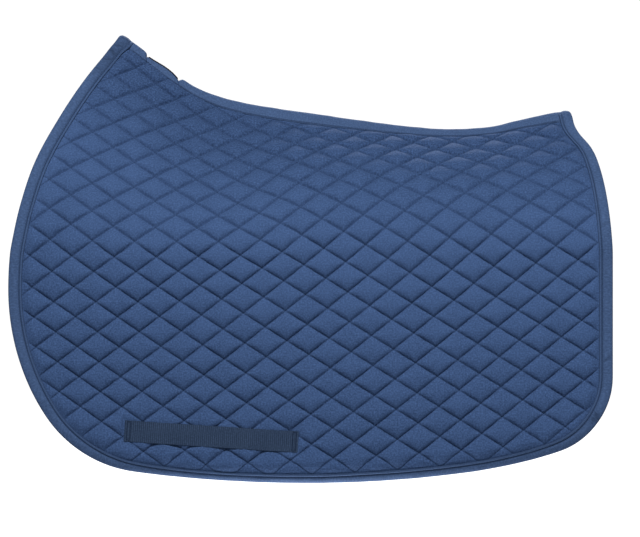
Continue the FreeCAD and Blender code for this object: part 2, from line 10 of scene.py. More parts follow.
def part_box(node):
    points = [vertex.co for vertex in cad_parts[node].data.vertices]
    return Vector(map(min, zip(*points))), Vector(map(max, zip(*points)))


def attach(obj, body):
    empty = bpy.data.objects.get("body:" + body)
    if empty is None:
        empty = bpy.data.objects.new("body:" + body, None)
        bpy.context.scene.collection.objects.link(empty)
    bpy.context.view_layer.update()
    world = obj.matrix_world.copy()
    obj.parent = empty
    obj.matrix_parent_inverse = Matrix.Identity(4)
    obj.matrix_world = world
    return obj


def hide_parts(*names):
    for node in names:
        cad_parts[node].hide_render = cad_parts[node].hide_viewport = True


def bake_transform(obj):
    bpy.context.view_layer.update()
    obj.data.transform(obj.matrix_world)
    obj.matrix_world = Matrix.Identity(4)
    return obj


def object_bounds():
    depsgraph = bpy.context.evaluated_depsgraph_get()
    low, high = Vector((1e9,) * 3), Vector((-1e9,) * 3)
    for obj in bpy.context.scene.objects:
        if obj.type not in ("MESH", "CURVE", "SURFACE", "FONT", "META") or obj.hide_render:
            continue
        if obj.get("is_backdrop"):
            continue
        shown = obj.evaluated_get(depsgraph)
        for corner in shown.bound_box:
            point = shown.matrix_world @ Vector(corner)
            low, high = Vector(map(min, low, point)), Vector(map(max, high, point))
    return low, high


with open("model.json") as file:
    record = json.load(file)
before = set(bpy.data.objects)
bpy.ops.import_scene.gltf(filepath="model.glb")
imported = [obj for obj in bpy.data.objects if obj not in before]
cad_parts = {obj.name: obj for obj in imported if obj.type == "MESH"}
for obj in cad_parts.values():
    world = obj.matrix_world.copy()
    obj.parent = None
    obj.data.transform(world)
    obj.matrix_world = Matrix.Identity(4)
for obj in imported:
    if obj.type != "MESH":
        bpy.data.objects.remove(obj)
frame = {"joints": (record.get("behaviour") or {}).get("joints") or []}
cad_low, cad_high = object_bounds()

# ---- frame sizes
fold = {joint["name"]: joint for joint in frame["joints"]}["off_flap_fold"]
MID = fold["pos_m"][1]  # middle of a flap's thickness
FOLD_Z = fold["pos_m"][2]  # height of the fold line
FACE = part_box("off_flap_outer_fabric")[1].y  # outer face of a flap
HALF_PAD = FACE - MID
TAB_LOW, TAB_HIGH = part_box("withers_tab")
KEEPER_LOW, KEEPER_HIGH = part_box("near_girth_keeper")
BAND = 0.016  # width of the binding and tape
THREAD = 0.00026  # thread radius
SIDES = (("near", -1), ("off", 1))

# Height of the crest of the outer cotton along the spine, as (x, z).
CREST = [(-.37, .185), (-.245, .103), (-.165, .0452), (-.11, .0245), (0, .007),
         (.11, -.0076), (.165, -.011), (.215, -.0077), (.255, .0014), (.3, .0105), (.35, .014)]
# Slope of a panel where it leaves the spine, as (x, radians).
SLOPE = [(x, math.radians(a)) for x, a in
         [(-.37, 60), (-.245, 57), (-.15, 48), (0, 30.5), (.12, 24.5), (.22, 26), (.35, 38)]]
# Front and rear edges above the fold line, as (z, x).
FRONT_EDGE = [(-.16, -.3663), (-.106, -.3556), (-.052, -.34), (.0046, -.3138),
              (.05, -.2889), (.09, -.2626), (.109, -.249)]
REAR_EDGE = [(-.16, .3464), (-.088, .3423), (-.05, .3369), (-.033, .331), (-.017, .3205),
             (-.005, .3155), (.007, .314), (.015, .31)]
# The flap's edge: corners as (x, z), with the radius of the arc to the next one.
FLAP_EDGE = [(-.3663, -.16, .432), (-.3688, -.2064, .28049), (-.32532, -.35636, .1451),
             (-.22183, -.42262, 1.52286), (.17477, -.42329, .53373), (.28509, -.39683, .0923),
             (.34645, -.30987, None), (.34645, -.16, None)]


def smooth_curve(points, at):
    """Values at positions on a smooth curve through points of rising position."""
    px, py = np.array(points, float).T
    tangent = np.gradient(py) / np.gradient(px)
    at = np.clip(at, px[0], px[-1])
    i = np.clip(np.searchsorted(px, at, side="right") - 1, 0, len(px) - 2)
    width = px[i + 1] - px[i]
    t = (at - px[i]) / width
    bend = t * (1 - t) * ((1 - t) * tangent[i] - t * tangent[i + 1])
    return py[i] + (py[i + 1] - py[i]) * ease(t) + width * bend


def ease(value):
    """Smooth step from 0 to 1."""
    t = np.clip(value, 0, 1)
    return t * t * (3 - 2 * t)


def unit(vectors):
    """The same directions with a length of 1."""
    return vectors / np.linalg.norm(vectors, axis=-1, keepdims=True)


def turned(a, b, angle):
    """The place (a, b) seen from axes that are turned by an angle."""
    return (a * math.cos(angle) + b * math.sin(angle), b * math.cos(angle) - a * math.sin(angle))


def lengths_along(points):
    """Length along a line up to each of its points."""
    steps = np.linalg.norm(np.diff(points, axis=0), axis=1)
    return np.concatenate([[0], np.cumsum(steps)])


def even_line(points, spacing):
    """The same line with evenly spaced points."""
    reach = lengths_along(points)
    even = np.linspace(0, reach[-1], int(round(reach[-1] / spacing)) + 1)
    return np.stack([np.interp(even, reach, column) for column in points.T], -1)


def softened(points, times):
    """The same line with its small corners rounded off; its ends stay."""
    points = points.copy()
    for _ in range(times):
        points[1:-1] = points[1:-1] / 2 + (points[:-2] + points[2:]) / 4
    return points


def line_normals(line):
    """Unit normals that point to the left of a line's direction."""
    way = unit(np.gradient(line, axis=0))
    return np.stack([-way[:, 1], way[:, 0]], -1)


# ---- middle surface
FILLET = 0.004  # radius of the middle surface over the spine
TAPE_TOP = 0.0056  # top of the spine tape over the middle surface
TAPE_PROUD = 0.003  # top of the spine tape over the crest of the cotton, square to a panel
SPINE_BLEND = 0.05  # length of cloth over which the middle surface rises to the spine
STATIONS = np.linspace(-.4, .38, 391)
ROWS = 260


def spine_section(x):
    """Half section of the middle surface at x, from the fold line up to the spine."""
    crest = float(smooth_curve(CREST, x))
    slope = float(smooth_curve(SLOPE, x))
    knee = crest - FACE * math.tan(slope)
    t = np.linspace(0, 1, 401)
    y = 2 * t * (1 - t) * FACE + t * t * FACE
    z = (1 - t) ** 2 * crest + 2 * t * (1 - t) * knee + t * t * FOLD_Z
    way = unit(np.stack([2 * (1 - t) * FACE, 2 * (1 - t) * (knee - crest) + 2 * t * (FOLD_Z - knee)], -1))
    raised = TAPE_PROUD - TAPE_TOP * math.cos(slope) + FILLET * (1 - math.cos(slope))
    inward = -raised + (raised + HALF_PAD) * ease(lengths_along(np.stack([y, z], -1)) / SPINE_BLEND)
    y, z = y + way[:, 1] * inward, z - way[:, 0] * inward
    # A small arc joins the two sides where they meet over the spine.
    lean = math.atan2(z[0] - z[8], y[8] - y[0])
    apex = z[0] + math.tan(lean) * y[0]
    centre = apex - FILLET / math.cos(lean)
    keep = y > FILLET * math.sin(lean)
    turn = np.linspace(0, lean, 13)
    y = np.concatenate([FILLET * np.sin(turn), y[keep]])[::-1]
    z = np.concatenate([centre + FILLET * np.cos(turn), z[keep]])[::-1]
    reach = lengths_along(np.stack([y, z], -1))
    even = np.linspace(0, reach[-1], ROWS + 1)
    return np.interp(even, reach, y), np.interp(even, reach, z), reach[-1]


# The hem bends under along the bottom: share of the full bend, as (x, share).
HEM_BEND = [(-.345, 0), (-.3, .25), (-.19, 1), (0, 1), (.06, .9), (.2, .87), (.26, .78),
            (.3, .55), (.345, 0)]
HEM_ANGLE = math.radians(47)
HEM_STARTS, HEM_FULL = .026, .011  # distances from the edge where the bend starts and is full
HEM_STEP = np.linspace(HEM_STARTS, -.004, 121)
hem_angle = HEM_ANGLE * (1 - ease((HEM_STEP - HEM_FULL) / (HEM_STARTS - HEM_FULL)))
HEM_RISE = np.cumsum(1 - np.cos(hem_angle)) * (HEM_STEP[0] - HEM_STEP[1])
HEM_INWARD = np.cumsum(np.sin(hem_angle)) * (HEM_STEP[0] - HEM_STEP[1])


def hem_shift(x, distance):
    """How far a point near the bottom edge rises and moves inward."""
    share = smooth_curve(HEM_BEND, x)
    rise = np.interp(-distance, -HEM_STEP, HEM_RISE) * share ** 2
    return rise, np.interp(-distance, -HEM_STEP, HEM_INWARD) * share


def flap_outline():
    """The flap's edge from the front of the fold line round to the rear, as (x, z)."""
    points = []
    for (ax, az, radius), (bx, bz, _) in zip(FLAP_EDGE, FLAP_EDGE[1:]):
        dx, dz = bx - ax, bz - az
        chord = math.hypot(dx, dz)
        count = max(int(chord / .003), 2)
        if radius is None:
            points.append(np.linspace((ax, az), (bx, bz), count, endpoint=False))
            continue
        rise = math.sqrt(radius ** 2 - chord ** 2 / 4)
        cx = (ax + bx) / 2 - dz / chord * rise
        cz = (az + bz) / 2 + dx / chord * rise
        spread = 2 * math.asin(chord / 2 / radius)
        angle = math.atan2(az - cz, ax - cx) + np.linspace(0, spread, count, endpoint=False)
        points.append(np.stack([cx + radius * np.cos(angle), cz + radius * np.sin(angle)], -1))
    return np.concatenate(points)


# The same edge in lengths of cloth, with its lowest stretch from front to rear.
FLAP_LINE = flap_outline()
FLAP_LINE[:, 1] -= FOLD_Z + hem_shift(FLAP_LINE[:, 0], np.zeros(len(FLAP_LINE)))[0]
hem_part = (FLAP_LINE[:, 1] < -.05) & (np.abs(FLAP_LINE[:, 0]) < .3464)
HEM_LINE = FLAP_LINE[hem_part]
HEM_LINE = HEM_LINE[np.argsort(HEM_LINE[:, 0], kind="stable")]

TABLE_Y, TABLE_Z, REACH = (np.array(column) for column in zip(*map(spine_section, STATIONS)))


def reach_at(x):
    """Length of cloth from the fold line up to the spine."""
    return np.interp(x, STATIONS, REACH)


def flat_surface(x, h):
    """Point of the middle surface: y is the distance to the centre plane.

    h is the length of cloth above the fold line. Past the spine y is negative.
    """
    top = reach_at(x)
    over = h > top
    inner = np.where(over, 2 * top - h, h)
    column = np.clip((x - STATIONS[0]) / (STATIONS[1] - STATIONS[0]), 0, len(STATIONS) - 1.001)
    row = np.clip(inner / top * ROWS, 0, ROWS - 1e-6)
    i, j = column.astype(int), row.astype(int)
    a, b = column - i, row - j

    def look(table):
        low = table[i, j] * (1 - a) + table[i + 1, j] * a
        high = table[i, j + 1] * (1 - a) + table[i + 1, j + 1] * a
        return low * (1 - b) + high * b

    rise, inward = hem_shift(x, h - np.interp(x, HEM_LINE[:, 0], HEM_LINE[:, 1]))
    y = np.where(h < 0, MID - inward, np.where(over, -look(TABLE_Y), look(TABLE_Y)))
    z = np.where(h < 0, FOLD_Z + h + rise, look(TABLE_Z))
    return np.stack([x, y, z], -1)


# Broad soft waves of the cloth, as (x, h, half width, half height, rise).
WAVES = {
    -1: [(-.27, -.03, .07, .12, .003), (-.12, -.17, .09, .07, -.0022), (.08, -.2, .1, .06, .0026),
         (.22, -.1, .08, .09, -.002), (.3, -.24, .06, .06, .0026), (-.3, -.2, .05, .07, -.002)],
    1: [(-.25, -.05, .08, .1, .0026), (-.05, -.18, .1, .07, -.0022), (.15, -.16, .09, .08, .0028),
        (.29, -.06, .06, .1, -.0022), (-.31, -.22, .06, .06, .002)],
}


def wave_height(x, h, side):
    """Height of the broad waves on one side."""
    return sum(rise * np.exp(-((x - wx) / width) ** 2 - ((h - wh) / height) ** 2)
               for wx, wh, width, height, rise in WAVES[side])


def cloth_point(x, h, side, lift=0.0):
    """Points and outward normals on the cloth, lifted off its middle surface."""
    x, h = np.broadcast_arrays(np.asarray(x, float), np.asarray(h, float))
    step = .0025
    along = flat_surface(x + step, h) - flat_surface(x - step, h)
    up = flat_surface(x, h + step) - flat_surface(x, h - step)
    normal = unit(np.cross(along, up))
    # The outward side has more y on the flap, and more z above the fold line.
    outward = np.where(h < 0, normal[..., 1], normal[..., 2])
    normal = normal * np.where(outward < 0, -1, 1)[..., None]
    bent = normal
    for way, dx, dh in ((along, step, 0), (up, 0, step)):
        rise = wave_height(x + dx, h + dh, side) - wave_height(x - dx, h - dh, side)
        bent = bent - rise[..., None] * way / (way ** 2).sum(-1, keepdims=True)
    bent = unit(bent)
    point = flat_surface(x, h) + normal * wave_height(x, h, side)[..., None]
    mirror = np.array([1, side, 1])
    return (point + bent * np.asarray(lift, float)[..., None]) * mirror, bent * mirror


def skins(x, h, side, *lifts):
    """Points on the cloth, once for each lift."""
    return [cloth_point(x, h, side, lift)[0] for lift in lifts]


# ---- outline in cloth lengths
def edge_above_fold(edge):
    """The front or rear edge from the fold line up to the spine, as (x, h)."""
    share = np.linspace(0, 1, 140)
    x = np.full(len(share), edge[0][1])
    for _ in range(40):
        z = flat_surface(x, share * reach_at(x))[:, 2]
        x = x + .6 * (smooth_curve(edge, z) - x)
    return np.stack([x, share * reach_at(x)], -1)


front_line = edge_above_fold(FRONT_EDGE)
rear_line = edge_above_fold(REAR_EDGE)
BOUND_EDGE = even_line(np.concatenate([front_line[::-1], FLAP_LINE[1:], rear_line]), .002)
BOUND_EDGE = even_line(softened(BOUND_EDGE, 6), .002)
BOUND_NORMAL = line_normals(BOUND_EDGE)
BOUND_TREE = KDTree(len(BOUND_EDGE))
for number, (x, h) in enumerate(BOUND_EDGE):
    BOUND_TREE.insert((x, h, 0), number)
BOUND_TREE.balance()
front_x, rear_x = BOUND_EDGE[0, 0], BOUND_EDGE[-1, 0]


def inset_from_edge(x, h):
    """Distance inside the bound edge, negative outside, with the inward direction."""
    found = np.array([BOUND_TREE.find((a, b, 0))[1] for a, b in zip(x.ravel(), h.ravel())])
    normal = BOUND_NORMAL[found]
    offset = np.stack([x.ravel(), h.ravel()], -1) - BOUND_EDGE[found]
    distance = (offset * normal).sum(-1)
    far = np.linalg.norm(offset, axis=1)
    distance = np.where(far > .01, np.sign(distance) * far, distance)
    return distance.reshape(x.shape), normal.reshape(x.shape + (2,))


# How far the spine tape comes down on the near side, as (x, length); the rest of
# its width is on the off side.
TAPE_REACH = [(-.26, .01), (-.17, .01), (-.11, .014), (-.05, .0175), (0, .019),
              (.06, .0175), (.12, .0145), (.19, .0125), (.23, .013), (.27, .0155), (.31, .016)]


def tape_reach(x, side):
    """How far the spine tape comes down on one side of the spine."""
    near = smooth_curve(TAPE_REACH, x)
    return near if side < 0 else 2 * BAND - near


# ---- quilting
# The middle row of seam crossings, as (x, height over the fold), and how far a
# column of crossings leans to the rear as it goes down.
QUILT_ROW = [(-.5, -.0446), (-.313, -.0439), (-.165, -.0427), (.0325, -.0321),
             (.156, -.0241), (.255, -.0164), (.5, .003)]
QUILT_LEAN = [(-.5, .035), (-.14, .035), (.156, .085), (.5, .09)]
# How far the seams wander up where the cloth bends over the back, as (x, h).
QUILT_DRIFT = [(-.5, .009), (-.32, .006), (-.25, .001), (-.16, -.003), (-.09, -.008), (-.03, -.002),
               (.03, .001), (.1, .005), (.18, .007), (.27, .004), (.5, .001)]
QUILT_START = -.1404  # place along the pad of the middle crossing
QUILT_WIDE = .0494  # width of a diamond
QUILT_TALL = .0354  # height of a diamond
# The seams draw together going down, like a fan that is open towards the spine.
FAN_FROM = -.083  # height over the fold at which it has its true width
FAN_SOFT = .13  # length over which its opening above there levels off
FAN_MIDDLE = -.04  # place along the pad of its upright middle
FAN_RATE = .111  # how fast it narrows going down
FAN_BEND = .1  # how much it curves forward away from its true width


def quilt_place(p, q):
    """Place on the cloth, as (x, h), of the quilt's diagonal coordinates."""
    along = QUILT_START + QUILT_WIDE * (p + q) / 2
    down = QUILT_TALL * (p - q) / 2
    x = along + smooth_curve(QUILT_LEAN, along) * down
    h = smooth_curve(QUILT_ROW, along) - down
    low = FAN_FROM - h
    low = np.where(low < 0, FAN_SOFT * np.tanh(low / FAN_SOFT), low)
    h = h + smooth_curve(QUILT_DRIFT, x) * ease((h + .06) / .15)
    return x - .001 - FAN_RATE * (x - FAN_MIDDLE) * low - FAN_BEND * low ** 2, h


# ---- girth keeper's place
strap_middle = (Vector(KEEPER_LOW) + Vector(KEEPER_HIGH)) / 2
KEEPER_SLOPE = math.radians(3.7)
HALF_LONG, HALF_TALL = .103, .0125  # half the strap's length and width
KEEPER_TAB = .012  # length of each sewn end
KEEPER_RIB = .00236  # distance between the webbing's cross ribs
KEEPER_FOOT = .0024  # height of the sewn ends over the cloth's middle
KEEPER_RIDE = .0062  # height of the strap between them
# Box of stitches at each end: outer line, inner line and half height.
BOX_OUTER = HALF_LONG - .0028
BOX_INNER = HALF_LONG - .0068
BOX_HALF = HALF_TALL - .0016


def keeper_place(s, w):
    """Place on the cloth of a point on the strap, s along it and w across it."""
    dx, dz = turned(s, w, KEEPER_SLOPE)
    return strap_middle.x + dx, strap_middle.z + dz - FOLD_Z


def strap_place(x, h):
    """Place along and across the strap of a point on the cloth."""
    return turned(x - strap_middle.x, h + FOLD_Z - strap_middle.z, -KEEPER_SLOPE)


def keeper_pinch(x, h):
    """1 away from the sewn ends of the keeper strap and 0 under them."""
    s, w = strap_place(x, h)
    end = np.abs(np.abs(s) - (HALF_LONG - KEEPER_TAB / 2)) - KEEPER_TAB / 2
    return ease(np.maximum(end, np.abs(w) - HALF_TALL) / .01 + .25)


def keeper_lift(s, w):
    """Height of the strap over the cloth's middle: flat sewn ends and a low arch."""
    foot = ease((HALF_LONG - KEEPER_TAB - np.abs(s)) / .022)
    ride = KEEPER_RIDE + .0004 * np.sin(2 * np.pi * s / .049 + .6) + .0004 * np.sin(2 * np.pi * s / .083)
    cup = 1 - .12 * (w / HALF_TALL) ** 2
    return KEEPER_FOOT + (ride - KEEPER_FOOT) * foot * cup


def keeper_stitch_gap(s, w):
    """Distance on the strap from the nearest line of its two boxes of stitches."""
    s, w = np.abs(s), np.abs(w)
    upright = np.minimum(np.abs(s - BOX_OUTER), np.abs(s - BOX_INNER))
    upright = np.hypot(upright, np.maximum(w - BOX_HALF, 0))
    level = np.hypot(w - BOX_HALF, np.maximum(np.maximum(s - BOX_OUTER, BOX_INNER - s), 0))
    return np.minimum(upright, level)


def below_keeper(x, h, lift):
    """Cloth height that stays under the keeper strap and swells out beside it."""
    s, w = strap_place(x, h)
    outside = np.hypot(np.maximum(np.abs(s) - HALF_LONG, 0), np.maximum(np.abs(w) - HALF_TALL, 0))
    strap = keeper_lift(np.clip(s, -HALF_LONG, HALF_LONG), np.clip(w, -HALF_TALL, HALF_TALL))
    return np.minimum(lift, strap - .0016 + np.maximum(outside - .0002, 0) * 2.0)


# ---- stuffing
SETTLE = 1.3  # above 1, the fullest part of a puff lies below its middle
SEAM_LIFT = .0012  # height of a sewn seam over the cloth's middle
OUTER_PUFF = .006  # height of the outer cotton's puffs over the seams
LINING_PUFF = .0036


def pillow(p, q, seed):
    """Height of the stuffed cloth over its seams, from 0 to about 1."""
    fp, fq = p - np.floor(p), q - np.floor(q)
    # The filling settles, so the cloth is fullest near the two lower seams.
    a = np.sin(np.pi * fp ** SETTLE) + 1e-4
    b = np.sin(np.pi * (1 - fq) ** SETTLE) + 1e-4
    body = (2 / (a ** -3 + b ** -3)) ** (1 / 3)
    spread = np.random.default_rng(seed).uniform(.88, 1.08, (64, 64))
    cell = spread[(np.floor(p).astype(int) + 32) % 64, (np.floor(q).astype(int) + 32) % 64]
    # Pulled cloth makes a small ridge in from the left and right corners.
    corner = np.minimum(np.hypot(fp, fq), np.hypot(1 - fp, 1 - fq)) / .3
    ridge = .2 * np.exp(-((fp - fq) / .1) ** 2 - (corner - .6) ** 2 / .12)
    return body ** .55 * cell + ridge * body ** .3


def fullness(x, h, inset, side):
    """Share of the full puff height, less beside the edges, spine and keeper ends."""
    spine = reach_at(x) - h - tape_reach(x, side)
    edge = ease((inset - .015) / .011) * ease((spine + .002) / .013)
    return edge * keeper_pinch(x, h)


def outer_height(p, q, x, h, inset, side):
    """Height of the outer cotton over the cloth's middle."""
    puff = pillow(p, q, 11 + side) * fullness(x, h, inset, side)
    return below_keeper(x, h, SEAM_LIFT + OUTER_PUFF * puff)


def lining_height(p, q, x, h, inset, side):
    """Depth of the lining below the cloth's middle."""
    return SEAM_LIFT + LINING_PUFF * pillow(p, q, 31 + side) * fullness(x, h, inset, side)


# ---- mesh helpers
def add_object(name, data):
    """A new object in the scene."""
    thing = bpy.data.objects.new(name, data)
    bpy.context.collection.objects.link(thing)
    return thing


def new_mesh(name, points, faces, material=None):
    """A mesh from points and faces."""
    mesh = bpy.data.meshes.new(name)
    mesh.from_pydata(points, [], faces)
    if material:
        mesh.materials.append(material)
    return mesh


def make_piece(name, points, faces, material, fields):
    """A smooth-shaded mesh piece from arrays of points and faces."""
    mesh = new_mesh(name, points.tolist(), faces, material)
    for key, values in fields.items():
        values = np.asarray(values, np.float32)
        kind, part = ("FLOAT_VECTOR", "vector") if values.ndim == 2 else ("FLOAT", "value")
        mesh.attributes.new(key, kind, "POINT").data.foreach_set(part, values.ravel())
    mesh.polygons.foreach_set("use_smooth", [True] * len(mesh.polygons))
    return add_object(name, mesh)


def facing(faces, turn):
    """Faces in one winding for -1 and in the other for 1."""
    faces = np.asarray(faces)
    return faces if turn < 0 else faces[:, ::-1]


def border_edges(faces):
    """Directed edges that belong to one face only."""
    count = faces.shape[1]
    edges = np.concatenate([faces[:, [k, (k + 1) % count]] for k in range(count)])
    _, first, times = np.unique(np.sort(edges, axis=1), axis=0, return_index=True, return_counts=True)
    return edges[first[times == 1]]


def grid_faces(rows, columns, closed=False):
    """Quads of a grid of points, row by row; closed joins each row's ends."""
    last = columns if closed else columns - 1
    r, c = np.meshgrid(np.arange(rows - 1), np.arange(last), indexing="ij")
    r, c = r.ravel(), c.ravel()
    following = (c + 1) % columns
    return np.stack([r * columns + c, r * columns + following,
                     (r + 1) * columns + following, (r + 1) * columns + c], -1)


def on_cloth(a, b):
    """The material's coordinates, from two lengths along the cloth."""
    a, b = np.broadcast_arrays(a, b)
    return np.stack([a, b, np.zeros(a.shape)], -1)


def layer_piece(name, top, under, faces, turn, material, fields):
    """Thin closed sheet: a top skin, the turned-over one beneath and a rim."""
    faces, count = facing(faces, turn), len(top)
    rim = border_edges(faces)
    walls = np.stack([rim[:, 1], rim[:, 0], rim[:, 0] + count, rim[:, 1] + count], -1)
    faces = np.concatenate([faces, faces[:, ::-1] + count, walls]).tolist()
    fields = {key: np.concatenate([values, values]) for key, values in fields.items()}
    return make_piece(name, np.concatenate([top, under]), faces, material, fields)


def strip_piece(name, top, low, turn, material, place, gap):
    """Closed strip from grids of points on its top and inner skins."""
    rows, columns = top.shape[:2]
    ring = np.arange(2 * columns)
    faces = facing(grid_faces(rows, 2 * columns, closed=True), turn).tolist()
    faces += facing([ring[::-1], ring + (rows - 1) * 2 * columns], turn).tolist()
    skin_pairs = ((top, low), (place, place), (gap, gap))
    loop, place, gap = (np.concatenate([a, b[:, ::-1]], axis=1) for a, b in skin_pairs)
    return make_piece(name, loop.reshape(-1, 3), faces, material,
                      {"cloth": place.reshape(-1, 3), "seam": gap.ravel()})


# ---- materials
SEAM_SHADE = .0012  # distance from a sewn line at which its painted shade ends
SEAM_DARKEST = -.003  # stands for the darkest painted shade; a seam's own middle is 0
CREASE_SHADE = .0026  # how far a full crease goes down that scale of painted shade


def deepened(gap, times):
    """Distance from a seam, with its painted shade made that many times as deep."""
    return SEAM_SHADE - times * (SEAM_SHADE - gap)


def add_node(tree, kind, inputs, **settings):
    """A new shader node; an input is a value or another node's output."""
    node = tree.nodes.new("ShaderNode" + kind)
    for key, value in settings.items():
        setattr(node, key, value)
    for socket, value in inputs.items():
        if isinstance(value, bpy.types.NodeSocket):
            tree.links.new(value, node.inputs[socket])
        else:
            node.inputs[socket].default_value = value
    return node


def plain_material(name, roughness, sheen):
    """A new material, with its node tree and its shader."""
    material = bpy.data.materials.new(name)
    material.use_nodes = True
    shader = material.node_tree.nodes["Principled BSDF"]
    for socket, value in (("Roughness", roughness), ("Sheen Weight", sheen), ("Sheen Roughness", .5),
                          ("Sheen Tint", (.3, .46, .95, 1)), ("Specular IOR Level", .04)):
        shader.inputs[socket].default_value = value
    return material, material.node_tree, shader


def cloth_material(name, light, dark, weave, pitch, strength, roughness=.88, sheen=.04, seam=False,
                   faded=False):
    """Woven cotton: mottled dye, slubs, painted shade at seams, edges and creases, painted shade and light
    across the back where asked, and a fine weave.
    """
    material, tree, shader = plain_material(name, roughness, sheen)

    def field(key, part):
        return add_node(tree, "Attribute", {}, attribute_name=key).outputs[part]

    def combine(kind, *values):
        return add_node(tree, "Math", dict(enumerate(values)), operation=kind).outputs[0]

    def mix(share, first, second):
        return add_node(tree, "Mix", {0: share, 6: first, 7: second}, data_type="RGBA").outputs[2]

    def noise(scale, detail):
        return add_node(tree, "TexNoise", {"Vector": place, "Scale": scale, "Detail": detail}).outputs[0]

    def ribs(value, distance):
        return combine("SINE", combine("MULTIPLY", value, 2 * math.pi / distance))

    def bump(height, depth, distance, **below):
        inputs = {"Strength": depth, "Distance": distance, "Height": height, **below}
        return add_node(tree, "Bump", inputs).outputs[0]

    place = field("cloth", "Vector")
    axes = add_node(tree, "SeparateXYZ", {0: place}).outputs
    u, v = axes[0], axes[1]
    slub = noise(520, 2)
    # Painted shade and light: a field darkens the colour near the spine and lightens it round the bend of the
    # back.
    if faded:
        share = combine("MULTIPLY_ADD", noise(38, 5), .82, field("faded", "Fac"))
    else:
        share = combine("MULTIPLY_ADD", noise(38, 5), 1.5, -.28)
    colour = mix(share, (*dark, 1), (*light, 1))
    fleck = combine("MULTIPLY_ADD", slub, 2.2, -.85)
    colour = mix(fleck, colour, (*(min(1, c * 1.45) for c in light), 1))
    # Painted shade: the colour darkens towards seams, stitch grooves, crease bottoms and strap edges,
    # standing in for the shade in those hollows.
    if seam:
        limits = {"From Min": SEAM_DARKEST, "From Max": SEAM_SHADE, "To Min": .98, "To Max": 0}
        shade = add_node(tree, "MapRange", {"Value": field("seam", "Fac"), **limits}).outputs[0]
        colour = mix(shade, colour, (*(c * .25 for c in dark), 1))
    tree.links.new(colour, shader.inputs["Base Color"])

    if weave == "twill":
        fine = combine("MULTIPLY", ribs(combine("SUBTRACT", u, v), pitch * .37), .3)
        pattern = combine("MULTIPLY_ADD", ribs(combine("ADD", u, v), pitch), .7, fine)
    elif weave == "rib":
        fine = combine("MULTIPLY", ribs(v, pitch * .55), .25)
        pattern = combine("MULTIPLY_ADD", ribs(u, pitch), .75, fine)
    else:
        pattern = combine("MULTIPLY", ribs(u, pitch), ribs(v, pitch))
    threads = bump(combine("ADD", combine("MULTIPLY", pattern, .25), slub), strength, .0004)
    tree.links.new(bump(noise(160, 4), .22, .0012, Normal=threads), shader.inputs["Normal"])
    return material


COTTON = cloth_material(
    "navy_cotton_twill", (.046, .0862, .193), (.0247, .0476, .1105), "twill", .0011, .35,
    seam=True, faded=True)
LINING = cloth_material(
    "navy_lining_cotton", (.056, .097, .196), (.04, .073, .152), "plain", .001, .3, seam=True)
TAPE = cloth_material(
    "navy_binding_tape", (.049, .086, .178), (.036, .065, .138), "rib", .0009, .4, roughness=.82,
    seam=True)
WEBBING = cloth_material(
    "navy_keeper_webbing", (.036, .06, .112), (.024, .042, .084), "rib", .0016, .45, roughness=.8,
    seam=True)
WADDING = cloth_material("white_wadding", (.8, .79, .76), (.7, .69, .66), "plain", .003, .6)
THREAD_NAVY = cloth_material(
    "navy_sewing_thread", (.016, .032, .082), (.009, .02, .056), "plain", .0004, .3, roughness=.7)
PIPING = cloth_material(
    "black_piping_cord", (.012, .013, .017), (.005, .006, .009), "plain", .0006, .4, roughness=.6)

# ---- quilted layers
# Painted shade and light: the cotton's colour is darkest along the spine and palest round the bend of the
# back, as (distance from the spine, how pale).
PAINTED_SHADE_AND_LIGHT = [(0, -.46), (.03, -.42), (.07, -.3), (.12, -.04), (.18, .26), (.25, .24),
         (.33, .04), (.42, -.06), (.6, -.1)]
# Grid lines between one seam and the next, packed beside the seams.
FINE_STEPS = np.array([0, .03, .09, .2, .35, .5, .65, .8, .91, .97])
COARSE_STEPS = np.array([0, .06, .2, .4, .6, .8, .94])


def quilt_mesh(steps, margin):
    """Quilt grid inside the outline: p, q, x, h, inset and faces."""
    line_p, line_q = (np.append(np.add.outer(np.arange(first, last), steps).ravel(), last)
                      for first, last in ((-17, 19), (-14, 22)))
    p, q = np.meshgrid(line_p, line_q, indexing="ij")
    x, h = quilt_place(p, q)
    inset, inward = inset_from_edge(x, h)
    inside = (inset > margin - .0016) & (reach_at(x) - h > -.0016)
    faces = grid_faces(*p.shape)
    faces = faces[inside.ravel()[faces].all(1)]
    used = np.unique(faces)
    p, q, x, h, inset = (a.ravel()[used] for a in (p, q, x, h, inset))
    # Points just outside the margin move in to it, and points past the spine move down to it.
    out = np.maximum(margin - inset, 0)[:, None] * inward.reshape(-1, 2)[used]
    x = x + out[:, 0]
    h = np.minimum(h + out[:, 1], reach_at(x))
    return p, q, x, h, np.maximum(inset, margin), np.searchsorted(used, faces)[:, ::-1]


def seam_distance(p, q):
    """Distance from the nearest seam line, in metres."""
    near = np.minimum(np.abs(p - np.round(p)), np.abs(q - np.round(q)))
    return near * QUILT_WIDE * QUILT_TALL / math.hypot(QUILT_WIDE, QUILT_TALL)


CLOTH_SHARE = .35  # how much of the simulated shape the cloth keeps
PUFF_START = .8  # share of the full height the cloth starts from
SIM_SCALE = 10  # the simulation runs on an enlarged copy
SIM_FRAMES = 18
SIM_REACH = .004  # the furthest that the simulation may move a point
CLOTH_SETTINGS = {"quality": 4, "mass": .05, "tension_stiffness": 15, "compression_stiffness": 15,
                  "shear_stiffness": 5, "bending_stiffness": .4, "bending_damping": .5,
                  "use_pressure": True, "uniform_pressure_force": 1.2, "shrink_min": -.03,
                  "vertex_group_mass": "sewn"}


